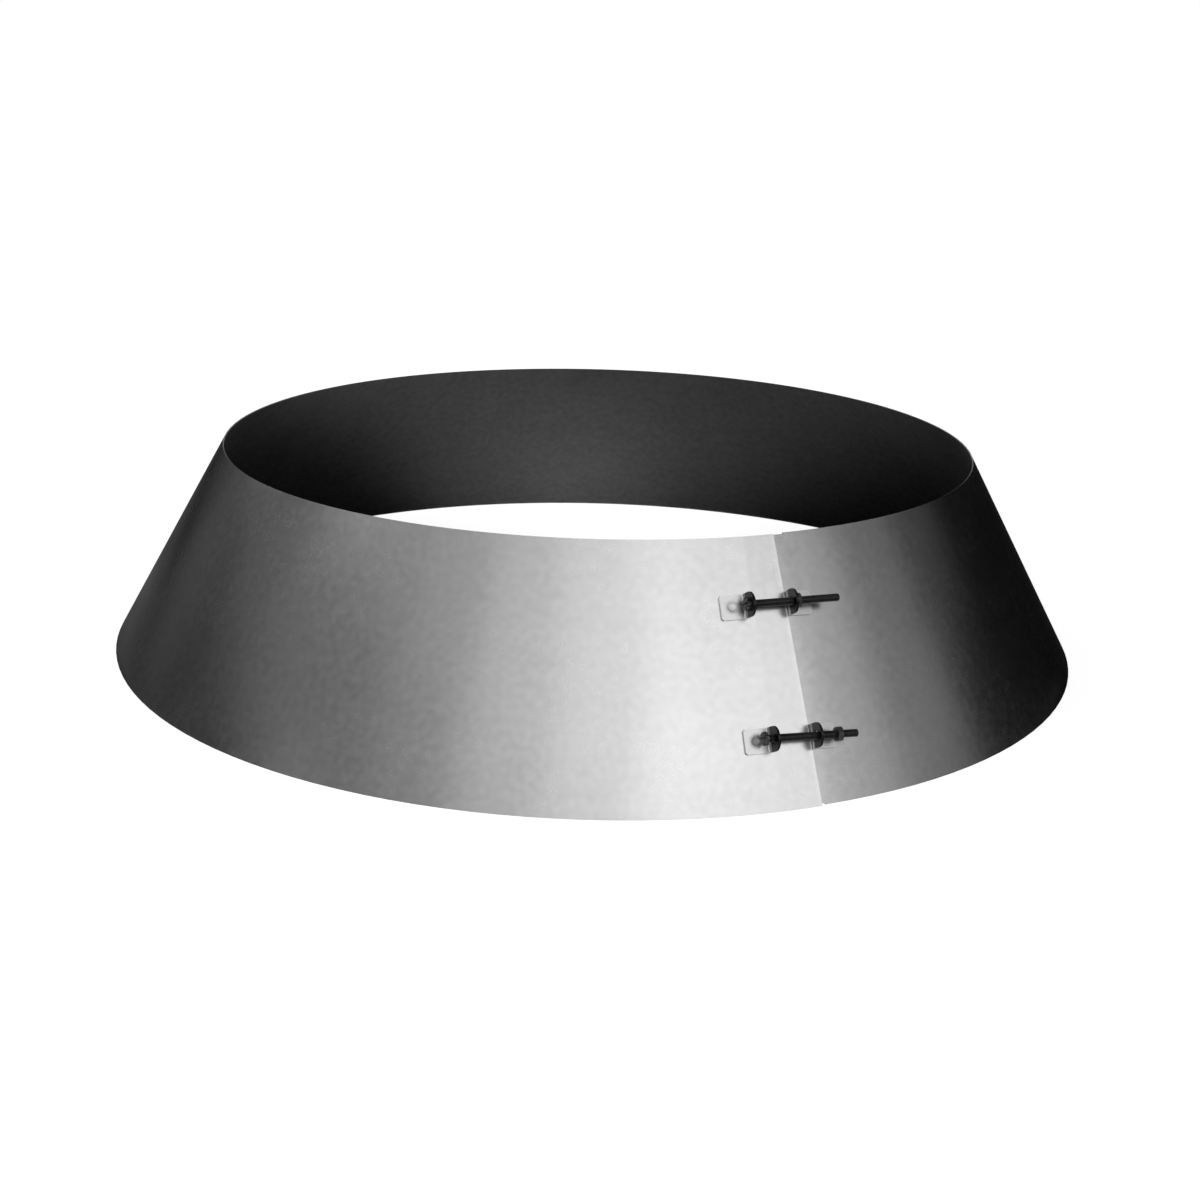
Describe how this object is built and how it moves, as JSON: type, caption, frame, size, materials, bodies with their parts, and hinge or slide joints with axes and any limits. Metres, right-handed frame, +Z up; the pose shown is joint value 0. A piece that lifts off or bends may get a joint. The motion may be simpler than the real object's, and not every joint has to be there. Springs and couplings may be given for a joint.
{
  "type": "storm collar",
  "caption": "Conical sheet metal collar, lapped and drawn tight round a pipe by long bolts through welded clips, to shed rain off the flashing below.",
  "frame": {"origin": "centre of the bottom rim, on the cone's axis, in the plane that the rim stands on", "axes": "+Z up along the cone's axis to the narrow top rim; -Y towards the front; the seam with its bolts is at the front, turned towards +X"},
  "size_m": [0.6003, 0.6011, 0.1232],
  "materials": {
    "zinc_sheet": "galvanised sheet, dull sheen with a faint mottle",
    "clip_steel": "plain bent strip, spot welded",
    "bolt_steel": "dulled and darkened, rubbed bright on the thread"
  },
  "bodies": {
    "root": {"collar_band": "zinc_sheet", "upper_head_clip": "clip_steel", "upper_nut_clip": "clip_steel", "upper_bolt": "bolt_steel", "upper_nut": "bolt_steel", "lower_head_clip": "clip_steel", "lower_nut_clip": "clip_steel", "lower_bolt": "bolt_steel", "lower_nut": "bolt_steel"}
  },
  "joints": []
}
